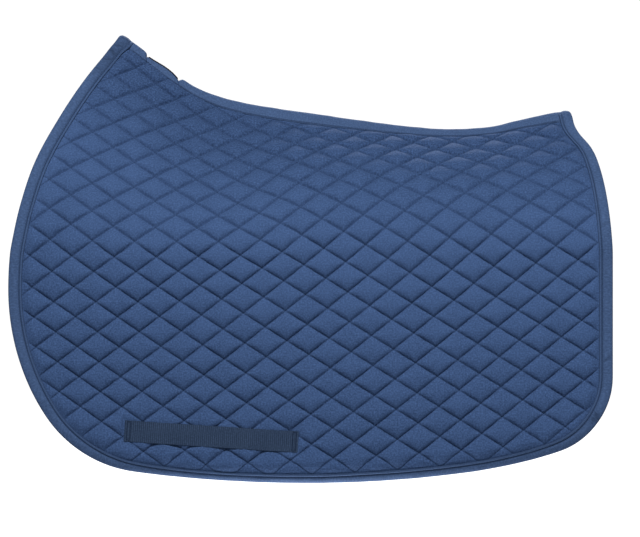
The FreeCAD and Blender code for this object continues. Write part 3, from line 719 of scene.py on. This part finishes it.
def blown_up(points, faces, held):
    """Where a sheet's points go when pressure fills it and the held ones stay."""
    mesh = new_mesh("cloth_trial", (points * SIM_SCALE).tolist(), faces.tolist())
    trial = add_object("cloth_trial", mesh)
    trial.vertex_groups.new(name="sewn").add(np.flatnonzero(held).tolist(), 1.0, "REPLACE")
    cloth = trial.modifiers.new("Cloth", "CLOTH")
    for key, value in CLOTH_SETTINGS.items():
        setattr(cloth.settings, key, value)
    cloth.settings.effector_weights.gravity = 0
    cloth.collision_settings.use_collision = False
    cloth.point_cache.frame_start = 1
    cloth.point_cache.frame_end = SIM_FRAMES + 1
    for step in range(1, SIM_FRAMES + 1):
        bpy.context.scene.frame_set(step)
    settled = trial.evaluated_get(bpy.context.evaluated_depsgraph_get()).data
    found = np.empty(points.size)
    settled.vertices.foreach_get("co", found)
    bpy.data.objects.remove(trial)
    bpy.context.scene.frame_set(1)
    return found.reshape(-1, 3) / SIM_SCALE


def puffed_cloth(p, q, x, h, inset, faces, side):
    """Points of the outer cotton, partly simulated between its sewn seams."""
    lift = outer_height(p, q, x, h, inset, side)
    middle, normal = cloth_point(x, h, side)
    begin = middle + normal * (SEAM_LIFT + (lift - SEAM_LIFT) * PUFF_START)[:, None]
    sewn = (np.abs(p - np.round(p)) < 1e-6) | (np.abs(q - np.round(q)) < 1e-6)
    held = sewn | (fullness(x, h, inset, side) < .05)
    moved = blown_up(begin, facing(faces, side), held) - begin
    reach = np.linalg.norm(moved, axis=1, keepdims=True)
    moved *= np.minimum(1, SIM_REACH / np.maximum(reach, 1e-9))
    stuffed = middle + normal * lift[:, None]
    points = stuffed + (begin + moved - stuffed) * CLOTH_SHARE
    out = ((points - middle) * normal).sum(1)
    lowest = .0011 + (lift - SEAM_LIFT) * .62
    allowed = np.clip(below_keeper(x, h, out), lowest, .0085)
    return points + normal * (allowed - out)[:, None]


OUTER_THICK = .0007  # thickness of the outer cotton
LINING_THICK = .0006
pieces = {}
outer_grid = quilt_mesh(FINE_STEPS, .0045)
lining_grid = quilt_mesh(COARSE_STEPS, .0055)
for word, side in SIDES:
    p, q, x, h, inset, faces = outer_grid
    top, normal = cloth_point(x, h, side, outer_height(p, q, x, h, inset, side))
    top = puffed_cloth(p, q, x, h, inset, faces, side)
    # The outer cotton carries painted shade near the spine and painted light round the bend of the back.
    pieces[word + "_outer"] = layer_piece(
        word + "_outer_cotton", top, top - OUTER_THICK * normal, faces, side, COTTON,
        {"cloth": on_cloth(x, h), "seam": seam_distance(p, q),
         "faded": smooth_curve(PAINTED_SHADE_AND_LIGHT, reach_at(x) - h)})

    p, q, x, h, inset, faces = lining_grid
    lift = lining_height(p, q, x, h, inset, side)
    top, under = skins(x, h, side, -lift, LINING_THICK - lift)
    pieces[word + "_lining"] = layer_piece(
        word + "_cotton_lining", top, under, faces, -side, LINING,
        {"cloth": on_cloth(x, h), "seam": seam_distance(p, q)})

    inner = .45 * ease((inset - .012) / .02) * ease((reach_at(x) - h - .012) / .02)
    above = .0002 + (outer_height(p, q, x, h, inset, side) - SEAM_LIFT) * inner
    below = .0002 + (lift - SEAM_LIFT) * inner
    top, under = skins(x, h, side, above, -below)
    pieces[word + "_wadding"] = layer_piece(
        word + "_wadding_fill", top, under, faces, side, WADDING, {"cloth": on_cloth(x, h)})


# ---- edge binding
def ripple(along, seed):
    """Soft unevenness along a sewn tape, from -1 to 1."""
    rng = np.random.default_rng(seed)
    return sum(share * np.sin(2 * np.pi * along / wave + rng.uniform(0, 6.28))
               for wave, share in ((.061, .4), (.037, .33), (.023, .27)))


# Section of the edge binding: (inset from the edge, lift off the middle surface).
BIND_OUT = [(.0162, .0018), (.0161, .0028), (.0155, .0032), (.0146, .0031), (.0137, .0026),
            (.0131, .002), (.0125, .0019), (.0118, .0025), (.0106, .0033), (.0085, .0037),
            (.0055, .0036), (.003, .0032), (.0012, .0025), (.0002, .0013)]
BIND_PROFILE = np.array(BIND_OUT + [(-.0002, 0.0)] + [(a, -b) for a, b in BIND_OUT[::-1]])
BIND_CORE = 10  # the section's point that the inner skin is drawn towards at the edge
BIND_STITCH = .0128
BIND_INNER = .0007
BIND_STEP = .0024
# Creases in the binding, as (place along it, place across, lean, width, length,
# depth). A place of zero or less counts back from the lower rear corner.
BIND_FOLDS = [(.013, .007, .5, .0024, .007, .00165), (.025, .006, -.3, .003, .008, .00195),
              (.037, .007, .6, .0026, .007, .00165), (.056, .006, .2, .0026, .008, .00105),
              (-.006, .006, -.7, .0024, .007, .00165), (0, .008, -.5, .0024, .005, .0012),
              (-.08, .007, .5, .0016, .007, .00105), (-.24, .007, .4, .0018, .007, .0009)]
DEEP_CREASE = .0018  # a crease of this depth has the full painted shade
CORNER_FOLD = (.322, -.2)


def binding_grid(side):
    """Places and lifts of the edge binding, from the spine's front to its rear."""
    line = even_line(BOUND_EDGE, BIND_STEP)
    normal = unit(softened(line_normals(line), 6))
    along = np.arange(len(line)) * BIND_STEP
    inset, lift = BIND_PROFILE.T
    xs = line[:, 0:1] + normal[:, 0:1] * inset
    hs = line[:, 1:2] + normal[:, 1:2] * inset
    # Over the spine the two sides' bindings meet square to the middle line.
    for end, x_spine, way in ((0, line[0, 0], 1), (along[-1], line[-1, 0], -1)):
        near_end = (1 - ease(np.abs(along - end) / .022))[:, None]
        straight_x = x_spine + way * inset
        straight_h = reach_at(straight_x) - np.abs(along - end)[:, None]
        xs = xs * (1 - near_end) + (straight_x + line[:, 0:1] - x_spine) * near_end
        hs = hs * (1 - near_end) + straight_h * near_end
    hs = np.minimum(hs, reach_at(xs))
    bulge = np.clip(np.minimum(inset, .0125 - inset) / .004, 0, 1)
    spine_end = np.clip(1 - np.minimum(along, along[-1] - along) / .026, 0, 1)[:, None] ** 1.5
    lifts = (np.abs(lift) + .00035 * ripple(along, 5 + side)[:, None] * bulge
             + .0022 * spine_end * (inset > .0001))
    corner = along[np.argmin(np.hypot(*(line - CORNER_FOLD).T))]
    # creased holds each point's share of the painted shade in the creases.
    creased = np.zeros(xs.shape)
    for start, middle, lean, width, length, depth in BIND_FOLDS:
        start = start if start > 0 else corner - start
        u, v = turned(along[:, None] - start, inset - middle, lean)
        fold_in = np.exp(-(u / width) ** 2 - (v / length) ** 4)
        fold_out = np.exp(-((u - 1.9 * width) / width) ** 2 - (v / length) ** 4)
        creased = np.maximum(creased, fold_in * depth / DEEP_CREASE)
        lifts = lifts - depth * bulge * (fold_in - .6 * fold_out)
    return xs, hs, np.sign(lift) * np.maximum(lifts, 0), along, inset, creased


for word, side in SIDES:
    xs, hs, lifts, along, inset, creased = binding_grid(side)
    inner = np.sign(lifts) * np.maximum(np.abs(lifts) - BIND_INNER, 0)
    top, low, middle = skins(xs, hs, side, lifts, inner, 0)
    # The inner skin follows the tape, pulled a little inside the folded edge.
    low = low + (middle[:, BIND_CORE, None] - low) * np.clip((.003 - inset) / .003, 0, 1)[None, :, None] * .25
    # Painted shade along the stitch groove and in the contact line at the inner edge.
    gap = np.minimum(np.abs(inset - BIND_STITCH), np.maximum(.0161 - inset, 0) + .0003)
    # Painted shade: the binding is darker in its creases and near the withers.
    withers_painted_shade = .4 * ease((.085 - along) / .05)[:, None]
    painted_shade_gap = SEAM_SHADE - CREASE_SHADE * np.clip(creased, withers_painted_shade, 1)
    pieces[word + "_binding"] = strip_piece(
        word + "_edge_binding", top, low, side, TAPE,
        on_cloth(along[:, None], np.arange(len(inset)) * .0014),
        np.minimum(deepened(gap, 2), painted_shade_gap))


# ---- spine tape
TAPE_STITCH = .88  # place of its stitches, as a share of its reach
TAB_GAP = .0012  # from the tape's ends to the withers tab
TAPE_INNER = .0006
# Half sections of the tapes over and under the seam: (share of the reach, lift).
TAPE_PROFILE = [(1.0, .0016), (.985, .0024), (.95, .0025), (.91, .0021), (.88, .0019), (.84, .0023),
                (.74, .0028), (.6, .0033), (.45, .0039), (.3, .0046), (.18, .0051), (.08, .0055),
                (0, TAPE_TOP)]
UNDER_PROFILE = [(1.0, .0017), (.98, .0022), (.9, .0021), (.6, .0023), (.3, .0022), (0, .0021)]
UNDER_REACH = BAND * .8


def spine_tape(name, x_start, x_end, profile, sign, count, rounded=(0, 0)):
    """Tape along the spine, folded down over both sides of the seam."""
    xs = np.linspace(x_start, x_end, count)
    share, lift = np.array(profile).T
    share = np.concatenate([share, -share[-2::-1]])
    lift = np.concatenate([lift, lift[-2::-1]])
    wide = np.full((count, len(share)), UNDER_REACH)
    if sign > 0:
        wide = np.where(share > 0, tape_reach(xs, -1)[:, None], tape_reach(xs, 1)[:, None])
    reach = share * wide
    x = np.broadcast_to(xs[:, None], reach.shape)
    lift = lift + .00025 * ripple(xs, 91)[:, None] * (np.abs(share) < .8)
    for end, radius in zip((x_start, x_end), rounded):
        from_end = np.abs(xs - end)
        if radius:
            drop = 1 - np.sqrt(1 - (1 - np.clip(from_end / radius, 0, 1)) ** 2)
            lift = lift - drop[:, None] * np.maximum(lift - .0024, 0)
        elif sign > 0:
            # A square end lies lower, under the edge binding.
            covered = 1 - ease((from_end - .003) / .006)[:, None]
            lift = lift - covered * (.0009 * (share != 0) + .0004)
    h = reach_at(x) - reach
    top, low = skins(x, h, -1, sign * lift, sign * (lift - TAPE_INNER))
    # Painted shade along the stitch groove and at the tape's edges.
    gap = np.minimum(np.abs(np.abs(share) - TAPE_STITCH) * BAND, (1 - np.abs(share)) * BAND + .0003)
    return strip_piece(name, top, low, sign, TAPE, on_cloth(x, reach),
                       np.broadcast_to(deepened(gap, 2), x.shape))


tape_ends = front_x + .01, rear_x - .01
pieces["tape_front"] = spine_tape(
    "spine_tape_withers", tape_ends[0], TAB_LOW.x - TAB_GAP, TAPE_PROFILE, 1, 24, (0, .006))
pieces["tape_rear"] = spine_tape(
    "spine_tape_back", TAB_HIGH.x + TAB_GAP, tape_ends[1], TAPE_PROFILE, 1, 220, (.005, 0))
pieces["tape_under"] = spine_tape("spine_tape_inside", *tape_ends, UNDER_PROFILE, -1, 170)

# ---- withers tab
TAB_REACH = .0092
TAB_EDGE = .002  # height of the tab's long edges over the cloth's middle
TAB_TOP = .0046
TAB_INNER = .0007
CORD_RADIUS = .001


def tab_rise(x):
    """Height of the tab over the seam, in a low arch from end to end."""
    share = np.clip((x - TAB_LOW.x - .001) / (TAB_HIGH.x - TAB_LOW.x - .002), 0, 1)
    return np.sin(np.pi * share ** 1.45) ** .9


def withers_tab():
    """Rounded cloth tab in the gap of the spine tape."""
    across = TAB_REACH * np.sin(np.linspace(1, -1, 25) * np.pi / 2)
    x, reach = np.meshgrid(np.linspace(TAB_LOW.x, TAB_HIGH.x, 40), across, indexing="ij")
    lift = TAB_EDGE + (TAB_TOP - TAB_EDGE) * tab_rise(x) * (1 - np.abs(reach / TAB_REACH) ** 1.3)
    top, low = skins(x, reach_at(x) - reach, -1, lift, lift - TAB_INNER)
    # Painted shade in the gap along the tab's edges.
    gap = TAB_REACH - np.abs(reach) + .0001
    return strip_piece("withers_tab_cloth", top, low, 1, TAPE, on_cloth(x, reach), gap)


def tube_piece(name, centres, radius, material):
    """Closed tube along a line of points."""
    corners = 10
    way = unit(np.gradient(centres, axis=0))
    side = unit(np.cross(way, [0, 0, 1.0]))
    up = np.cross(side, way)
    turn = np.linspace(0, 2 * np.pi, corners, endpoint=False)[None, :, None]
    taper = np.ones((len(centres), 1, 1))
    taper[0] = taper[-1] = .5
    points = centres[:, None] + radius * taper * (np.cos(turn) * side[:, None] + np.sin(turn) * up[:, None])
    ring = np.arange(corners)
    faces = facing(grid_faces(len(centres), corners, closed=True), 1).tolist()
    faces += [ring.tolist(), (ring[::-1] + (len(centres) - 1) * corners).tolist()]
    flat = points.reshape(-1, 3)
    return make_piece(name, flat, faces, material, {"cloth": flat})


pieces["tab"] = withers_tab()
cord_x = np.linspace(TAB_LOW.x + .001, TAB_HIGH.x - .001, 40)
cord_line, = skins(cord_x, reach_at(cord_x), -1, .0024 + (TAB_TOP - TAB_EDGE) * tab_rise(cord_x))
pieces["tab_cord"] = tube_piece("withers_tab_piping_cord", cord_line, CORD_RADIUS, PIPING)

# ---- girth keeper straps
KEEPER_ACROSS = np.array([-1, -.97, -.92, -.87, -.82, -.6, -.3, 0, .3, .6, .82, .87, .92, .97, 1])
WEBBING_THICK = .0012
RIB_HEIGHT = .00016


def keeper_strap(name, side):
    """Webbing strap with cross ribs, dented along its two boxes of stitches."""
    s = np.linspace(-HALF_LONG, HALF_LONG, 874)
    s, w = np.meshgrid(s, KEEPER_ACROSS * HALF_TALL, indexing="ij")
    wave = np.sin(2 * np.pi * s / KEEPER_RIB)
    rib = RIB_HEIGHT * wave * (1 - (w / HALF_TALL) ** 8)
    sewn = keeper_stitch_gap(s, w)
    rim = np.minimum(HALF_LONG - np.abs(s), HALF_TALL - np.abs(w)) + .0004
    x, h = keeper_place(s, w)
    lift = keeper_lift(s, w) + rib - .0004 * (1 - ease(sewn / .0014))
    top, low = skins(x, h, side, lift, lift - WEBBING_THICK - rib)
    # Painted shade darkens the furrows between the ribs, like shallow seams, and the stitch lines and the
    # strap's edges.
    gap = np.minimum(np.minimum(sewn, rim), .00082 + .00038 * wave)
    return strip_piece(name, top, low, -side, WEBBING, on_cloth(s, w), deepened(gap, 3))


for word, side in SIDES:
    pieces[word + "_keeper"] = keeper_strap(word + "_keeper_webbing", side)

# ---- stitching
QUILT_PITCH = .0036  # length of one stitch with its gap
BAND_PITCH = .0032
BOX_PITCH = .0026
# One stitch, as shares of its half length, its radius across and its radius up.
RING = ((1, 0), (0, 1), (-1, 0), (0, -1))
STITCH = np.array([(-1, 0, 0)] + [(t, a, b) for t in (-.72, .72) for a, b in RING] + [(1, 0, 0)])


def cloth_line(x, h, lift):
    """A line on the cloth, as (x, h, lift)."""
    return np.stack(np.broadcast_arrays(x, h, lift), -1)


def stitch_frames(lines, pitch, side):
    """Middles, directions and normals of stitches along lines of (x, h, lift)."""
    found = []
    for line in lines:
        even = even_line(line, pitch / 2)
        if len(even) < 3:
            continue
        point, normal = cloth_point(even[:, 0], even[:, 1], side, even[:, 2])
        count = len(point[2::2])
        way = unit(point[2::2] - point[:-1:2][:count])
        found.append((point[1::2][:count], way, normal[1::2][:count]))
    return map(np.concatenate, zip(*found))


def stitch_piece(name, lines, pitch, side):
    """Small rounded stitches laid along lines on the cloth."""
    middle, way, normal = stitch_frames(lines, pitch, side)
    across = unit(np.cross(way, normal))
    up = np.cross(across, way)
    half = pitch * .43
    points = (middle[:, None] + STITCH[:, 0:1] * half * way[:, None]
              + THREAD * (STITCH[:, 1:2] * across[:, None] + STITCH[:, 2:3] * up[:, None]))
    start = np.array([[0, k, k % 4 + 1] for k in range(1, 5)])
    end = np.array([[9, k + 4, k % 4 + 5] for k in range(1, 5)])[:, ::-1]
    body = np.array([[k, k + 4, k % 4 + 5, k % 4 + 1] for k in range(1, 5)])
    faces = []
    for base in range(0, len(STITCH) * len(middle), len(STITCH)):
        faces += (start + base).tolist() + (end + base).tolist() + (body + base).tolist()
    flat = points.reshape(-1, 3)
    return make_piece(name, flat, faces, THREAD_NAVY, {"cloth": flat})


def seam_lines(side, way):
    """Quilting seams inside the binding and spine tape, outside (1) or inside (-1)."""
    lines = []
    run = np.arange(-17, 22, .04)
    crossings = [(run, np.full(len(run), float(fixed))) for fixed in range(-17, 23)]
    for p, q in crossings + [(q, p) for p, q in crossings]:
        x, h = quilt_place(p, q)
        inset, _ = inset_from_edge(x, h)
        seen = (inset > .0168) & (reach_at(x) - h - tape_reach(x, side) > .0008)
        for part in np.split(np.arange(len(run)), np.flatnonzero(np.diff(seen.astype(int))) + 1):
            if seen[part[0]] and len(part) > 3:
                lines.append(cloth_line(x[part], h[part], way * (SEAM_LIFT + .00008)))
    return lines


def binding_line(lift):
    """The binding's line of stitches, short of the spine at both ends."""
    line = even_line(BOUND_EDGE, .003)
    line = line + line_normals(line) * BIND_STITCH
    line = line[reach_at(line[:, 0]) - line[:, 1] > .012]
    return cloth_line(line[:, 0], line[:, 1], lift)


def keeper_box(end):
    """Box of stitches at one end of the keeper, as four lines."""
    a, b, top = end * BOX_OUTER, end * BOX_INNER, BOX_HALF
    corners = [(a, -top), (a, top), (b, top), (b, -top), (a, -top)]
    lines = []
    for first, last in zip(corners, corners[1:]):
        s, w = np.linspace(first, last, 12).T
        lines.append(cloth_line(*keeper_place(s, w), keeper_lift(s, w) - .0002))
    return lines


def spine_line(side):
    """The line of stitches along one edge of the spine tape."""
    x = np.linspace(front_x + .017, rear_x - .017, 200)
    if side > 0:
        x = x[x > TAB_HIGH.x + .003]
    # On the off side the line is beyond the spine, so its cloth length is greater.
    return cloth_line(x, reach_at(x) + side * tape_reach(x, side) * TAPE_STITCH, .0021)


for word, side in SIDES:
    for key, lines, pitch in (
            ("_quilting_thread", seam_lines(side, 1), QUILT_PITCH),
            ("_lining_thread", seam_lines(side, -1), QUILT_PITCH),
            ("_binding_thread", [binding_line(.0021), binding_line(-.0021)], BAND_PITCH),
            ("_keeper_thread_front", keeper_box(-1), BOX_PITCH),
            ("_keeper_thread_rear", keeper_box(1), BOX_PITCH)):
        pieces[word + key] = stitch_piece(word + key, lines, pitch, side)
pieces["spine_thread"] = stitch_piece(
    "spine_tape_thread", [spine_line(-1), spine_line(1)], BAND_PITCH, -1)
x = np.linspace(front_x + .018, rear_x - .018, 160)
under_lines = [cloth_line(x, reach_at(x) + way * BAND * .72, -.0024) for way in (-1, 1)]
pieces["under_thread"] = stitch_piece("spine_tape_inside_thread", under_lines, BAND_PITCH, -1)

# ---- what each piece rides on
FOLD_ZONE = .055  # distance above and below the fold line of two points that nothing uses
# Each side's pieces: key, finish, and the CAD nodes that the piece stands for.
SIDE_PIECES = [
    ("_outer", "navy_cotton", "{}_ridge_outer_fabric", "{}_flap_outer_fabric"),
    ("_wadding", "white_wadding", "{}_ridge_wadding", "{}_flap_wadding"),
    ("_lining", "navy_lining", "{}_ridge_lining", "{}_flap_lining"),
    ("_binding", "navy_tape", "{}_flap_binding", "ridge_binding_front", "ridge_binding_rear"),
    ("_quilting_thread", "navy_thread"),
    ("_lining_thread", "navy_thread"),
    ("_binding_thread", "navy_thread"),
    ("_keeper", "navy_webbing", "{}_girth_keeper"),
    ("_keeper_thread_front", "navy_thread", "{}_keeper_stitching_front"),
    ("_keeper_thread_rear", "navy_thread", "{}_keeper_stitching_rear"),
]
for word, side in SIDES:
    above, below = ((0, side * MID, FOLD_Z + way * FOLD_ZONE) for way in (1, -1))
    for key, slot, *nodes in SIDE_PIECES:
        piece = pieces[word + key]
        if key.startswith("_keeper"):
            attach(piece, word + "_flap")
        else:
            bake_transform(piece)
        if nodes:
            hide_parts(*(node.format(word) for node in nodes))

for key, slot, *nodes in (
        ("tape_front", "navy_tape", "spine_tape_front"),
        ("tape_rear", "navy_tape", "spine_tape_rear"),
        ("tape_under", "navy_tape", "spine_tape_under"),
        ("tab", "navy_tape", "withers_tab"),
        ("tab_cord", "black_piping", "withers_tab_piping"),
        ("spine_thread", "navy_thread"),
        ("under_thread", "navy_thread")):
    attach(pieces[key], "ridge")
    if nodes:
        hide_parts(*nodes)

# ---- floor, lights, camera
FLOOR_DROP = .3  # from the object's lowest point down to the floor
SKY_LIGHT = 0.12  # strength of the light from all round
LIGHT_AWAY = 2.97  # distance of the two large lights in front and behind
LIGHT_UP = 2.5
CAMERA_AWAY = 2.5
CAMERA_HEIGHT = -.1819

floor_paper, paper_tree, paper_shader = plain_material("studio_white", .9, 0)
paper_shader.inputs["Base Color"].default_value = (.45, .45, .46, 1)
paper_shader.inputs["Emission Color"].default_value = (1, 1, 1, 1)
seen_floor = add_node(paper_tree, "LightPath", {}).outputs["Is Camera Ray"]
paper_tree.links.new(seen_floor, paper_shader.inputs["Emission Strength"])
corners = [(-9, -9, 0), (9, -9, 0), (9, 9, 0), (-9, 9, 0)]
floor = add_object("studio_floor", new_mesh("studio_floor", corners, [(0, 1, 2, 3)], floor_paper))
floor.location = (0, 0, cad_low.z - FLOOR_DROP)
floor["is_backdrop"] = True

scene = bpy.context.scene
scene.world = bpy.data.worlds.new("studio_world")
scene.world.use_nodes = True
world_tree = scene.world.node_tree
background = world_tree.nodes["Background"]
background.inputs["Color"].default_value = (1, 1, 1, 1)
# The backdrop shows as white paper while its share of the light stays soft.
seen = add_node(world_tree, "LightPath", {}).outputs["Is Camera Ray"]
level = add_node(world_tree, "MapRange", {"Value": seen, "To Min": SKY_LIGHT, "To Max": 1.05})
world_tree.links.new(level.outputs[0], background.inputs["Strength"])
view = scene.view_settings
view.view_transform = "Standard"
view.look = "None"
view.exposure = 0
view.gamma = 1


def soft_light(name, place, target, wide, tall, power):
    """Rectangular area light that faces a target."""
    lamp = bpy.data.lights.new(name, "AREA")
    lamp.shape = "RECTANGLE"
    lamp.size = wide
    lamp.size_y = tall
    lamp.energy = power
    holder = add_object(name, lamp)
    holder.visible_camera = False
    holder.location = place
    holder.rotation_euler = (Vector(target) - Vector(place)).to_track_quat("-Z", "Y").to_euler()


centre = (cad_low + cad_high) / 2
soft_light("key_light", (0, -LIGHT_AWAY, LIGHT_UP), centre, 1.4, .9, 171)
soft_light("back_light", (0, LIGHT_AWAY, LIGHT_UP), centre, 1.4, .9, 171)
soft_light("under_light", (0, 0, cad_low.z - FLOOR_DROP + .03), centre, .2, .2, 2.8)

camera = add_object("camera", bpy.data.cameras.new("camera"))
camera.data.lens = 112.6
camera.data.sensor_width = 36
camera.location = (0, -CAMERA_AWAY, CAMERA_HEIGHT)
camera.rotation_euler = (math.radians(90), 0, 0)
scene.camera = camera

low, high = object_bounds()
